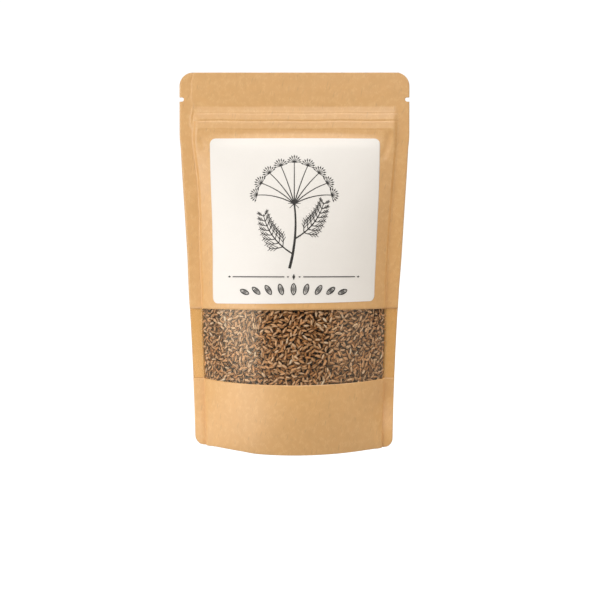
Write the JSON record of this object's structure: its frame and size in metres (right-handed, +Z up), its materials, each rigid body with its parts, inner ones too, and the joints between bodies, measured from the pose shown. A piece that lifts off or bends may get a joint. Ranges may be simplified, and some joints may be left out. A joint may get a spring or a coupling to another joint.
{
  "type": "seed pouch",
  "caption": "Standing kraft paper pouch with a clear window band, a press-to-close zip, a sealed header with tear notches and a plain label, filled with dill seeds.",
  "frame": {"origin": "middle of the foot, on the surface that the pouch stands on", "axes": "+Z up from the foot to the header, -Y out of the front with the window and the label, +X across the pouch to the right as seen from the front"},
  "size_m": [0.13, 0.0542, 0.21],
  "materials": {
    "kraft_paper": "matt brown kraft paper with fine fibres",
    "clear_film": "clear glossy film",
    "zip_plastic": "milky smooth plastic",
    "label_paper": "white coated paper, satin",
    "dill_seed": "dry brown ribbed seed coats"
  },
  "bodies": {
    "root": {"back_panel": "kraft_paper", "front_panel_upper": "kraft_paper", "front_panel_lower": "kraft_paper", "window_film": "clear_film", "bottom_gusset": "kraft_paper", "zip_tongue_strip": "zip_plastic", "zip_rail_strip": "zip_plastic", "label": "label_paper", "seeds": "dill_seed"}
  },
  "joints": []
}
